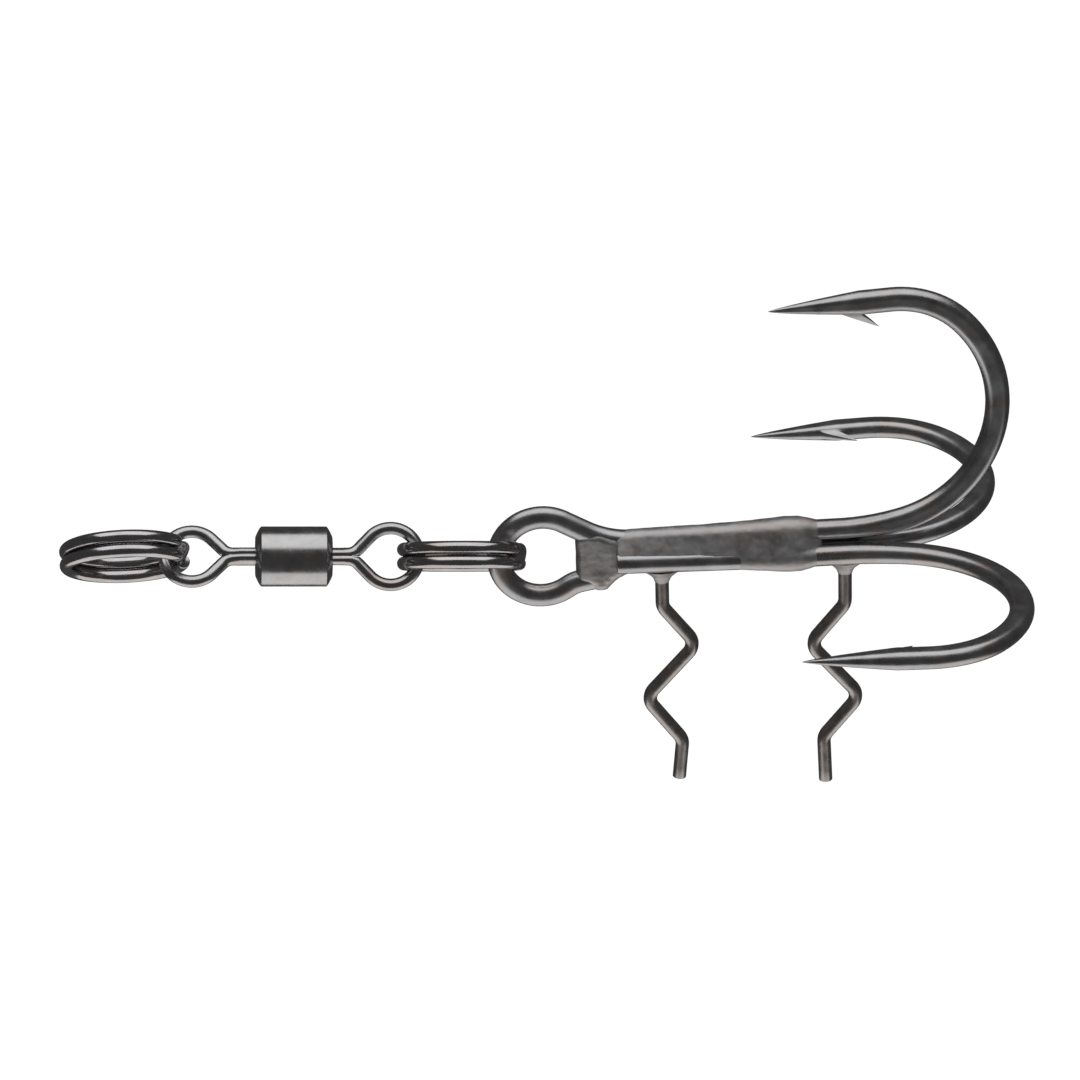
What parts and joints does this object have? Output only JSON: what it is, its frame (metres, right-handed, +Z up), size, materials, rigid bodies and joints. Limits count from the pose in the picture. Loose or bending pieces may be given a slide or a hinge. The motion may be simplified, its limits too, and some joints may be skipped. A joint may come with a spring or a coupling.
{
  "type": "treble hook",
  "caption": "Stinger treble hook for soft baits: split rings and a rolling swivel carry a brazed treble with barbed hooks and zigzag bait pins under its shank.",
  "frame": {"origin": "the point at the top of the line ring's inside where the line or leader pulls on it", "axes": "+Z up the chain towards the line, so the hook hangs down -Z; +X from the shank towards the top hook, with the bait pins on -X; +Y and -Y towards the side hooks"},
  "size_m": [0.0457, 0.0454, 0.0796],
  "materials": {
    "ring_nickel": "polished black nickel on spring steel",
    "swivel_wire": "polished black nickel on stainless wire",
    "swivel_barrel": "polished black nickel on brass",
    "hook_steel": "satin black nickel on carbon steel",
    "braze": "matt black nickel over brazing filler",
    "pin_steel": "satin black nickel on steel wire"
  },
  "bodies": {
    "line_ring_body": {"front_split_ring": "ring_nickel"},
    "front_eye_body": {"front_swivel_eye": "swivel_wire"},
    "barrel_body": {"swivel_barrel": "swivel_barrel"},
    "rear_eye_body": {"rear_swivel_eye": "swivel_wire"},
    "rear_ring_body": {"rear_split_ring": "ring_nickel"},
    "treble_body": {"top_hook": "hook_steel", "left_hook": "hook_steel", "right_hook": "hook_steel", "shank_braze": "braze", "eye_braze": "braze", "front_bait_pin": "pin_steel", "rear_bait_pin": "pin_steel", "front_pin_braze": "braze", "rear_pin_braze": "braze"}
  },
  "joints": [
    {"name": "front_eye_swing", "type": "hinge", "parent": "line_ring_body", "child": "front_eye_body", "pos_m": [0, 0, -0.0098], "axis": [-0.7804, 0.6252, 0], "range_deg": [-120, 120]},
    {"name": "barrel_spin", "type": "hinge", "parent": "front_eye_body", "child": "barrel_body", "pos_m": [0, 0, -0.01505], "axis": [0, 0, 1], "continuous": true},
    {"name": "rear_eye_spin", "type": "hinge", "parent": "barrel_body", "child": "rear_eye_body", "pos_m": [0, 0, -0.02145], "axis": [0, 0, 1], "continuous": true},
    {"name": "rear_ring_swing", "type": "hinge", "parent": "rear_eye_body", "child": "rear_ring_body", "pos_m": [0, 0, -0.02866], "axis": [0.8965, 0.4431, 0], "range_deg": [-80, 80]},
    {"name": "treble_swing", "type": "hinge", "parent": "rear_ring_body", "child": "treble_body", "pos_m": [0, 0, -0.0389], "axis": [0, 1, 0], "range_deg": [-95, 95]}
  ]
}
